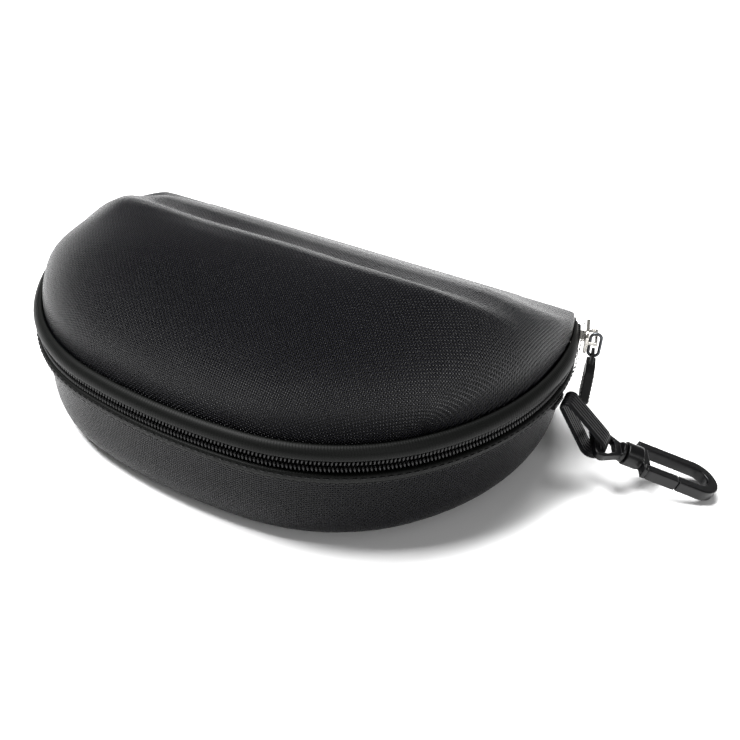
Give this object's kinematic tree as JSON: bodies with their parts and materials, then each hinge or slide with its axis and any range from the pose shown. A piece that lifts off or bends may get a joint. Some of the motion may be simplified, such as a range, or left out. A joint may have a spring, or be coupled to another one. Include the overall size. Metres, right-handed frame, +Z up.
{
  "type": "eyeglasses case",
  "caption": "Zipped half-moon hard case for glasses: two moulded foam shells in woven nylon, fabric hinge, coil zipper with puller, webbing loop and swivel snap hook.",
  "frame": {"origin": "on the surface it rests on, under the middle of the case, on the line across its widest place", "axes": "+X along the case towards the snap hook, +Y towards the fabric hinge at the back, +Z up"},
  "size_m": [0.2396, 0.1209, 0.071],
  "materials": {
    "ballistic_nylon": "black 1680D style nylon weave laminated on foam",
    "moulded_foam": "heat-moulded closed-cell EVA foam",
    "brushed_lining": "brushed knit",
    "binding_tape": "smooth folded binding",
    "zipper_tape": "woven polyester tape",
    "zipper_coil": "polyester monofilament coil",
    "hinge_fabric": "woven strip",
    "webbing": "ribbed narrow webbing",
    "nickel_plated_zinc": "die-cast, nickel plated",
    "dark_wire": "blackened steel wire",
    "puller_rubber": "soft moulded, ribbed",
    "acetal_black": "satin injection moulded acetal"
  },
  "bodies": {
    "base": {"lower_shell_cover": "ballistic_nylon", "lower_shell_foam": "moulded_foam", "lower_lining": "brushed_lining", "lower_binding": "binding_tape", "lower_edge_tape": "binding_tape", "lower_zipper_tape": "zipper_tape", "lower_zipper_coil": "zipper_coil", "zipper_end_stops": "nickel_plated_zinc", "hinge_tape_lower": "hinge_fabric", "webbing_anchor": "webbing"},
    "lid": {"upper_shell_cover": "ballistic_nylon", "upper_shell_foam": "moulded_foam", "upper_lining": "brushed_lining", "upper_binding": "binding_tape", "upper_edge_tape": "binding_tape", "upper_zipper_tape": "zipper_tape", "upper_zipper_coil": "zipper_coil", "hinge_tape_upper": "hinge_fabric"},
    "slider": {"slider_body": "nickel_plated_zinc", "slider_bridge": "nickel_plated_zinc"},
    "link": {"pull_link": "dark_wire"},
    "tab": {"pull_tab": "puller_rubber"},
    "strap": {"webbing_loop": "webbing"},
    "eye": {"swivel_eye": "acetal_black"},
    "hook": {"snap_hook_body": "acetal_black"},
    "gate": {"snap_hook_gate": "acetal_black"}
  },
  "joints": [
    {"name": "lid_hinge", "type": "hinge", "parent": "base", "child": "lid", "pos_m": [0, 0.0333, 0.034], "axis": [-1, 0, 0], "range_deg": [0, 110]},
    {"name": "slider_travel", "type": "hinge", "parent": "base", "child": "slider", "pos_m": [0, 0, 0.034], "axis": [0, 0, -1], "range_deg": [0, 10.5]},
    {"name": "link_swing", "type": "hinge", "parent": "slider", "child": "link", "pos_m": [0.09531, 0.02769, 0.034], "axis": [0.279, -0.9603, 0], "range_deg": [0, 150]},
    {"name": "tab_swing", "type": "hinge", "parent": "link", "child": "tab", "pos_m": [0.09531, 0.02769, 0.0267], "axis": [0.279, -0.9603, 0], "range_deg": [-15, 15]},
    {"name": "strap_flex", "type": "hinge", "parent": "base", "child": "strap", "pos_m": [0.0955, -0.0027, 0.0274], "axis": [0, -1, 0], "range_deg": [-5, 36]},
    {"name": "eye_swing", "type": "hinge", "parent": "strap", "child": "eye", "pos_m": [0.1074, -0.0018, 0.0158], "axis": [-0.3933, 0.9194, 0], "range_deg": [-30, 30]},
    {"name": "hook_swivel", "type": "hinge", "parent": "eye", "child": "hook", "pos_m": [0.11651, 0.0021, 0.01232], "axis": [0.8676, 0.3711, -0.331], "continuous": true},
    {"name": "gate_press", "type": "hinge", "parent": "hook", "child": "gate", "pos_m": [0.12503, -0.00008, 0.00988], "axis": [0.3043, 0.1302, 0.9436], "range_deg": [0, 25], "stiffness_Nm_per_rad": 0.02}
  ]
}
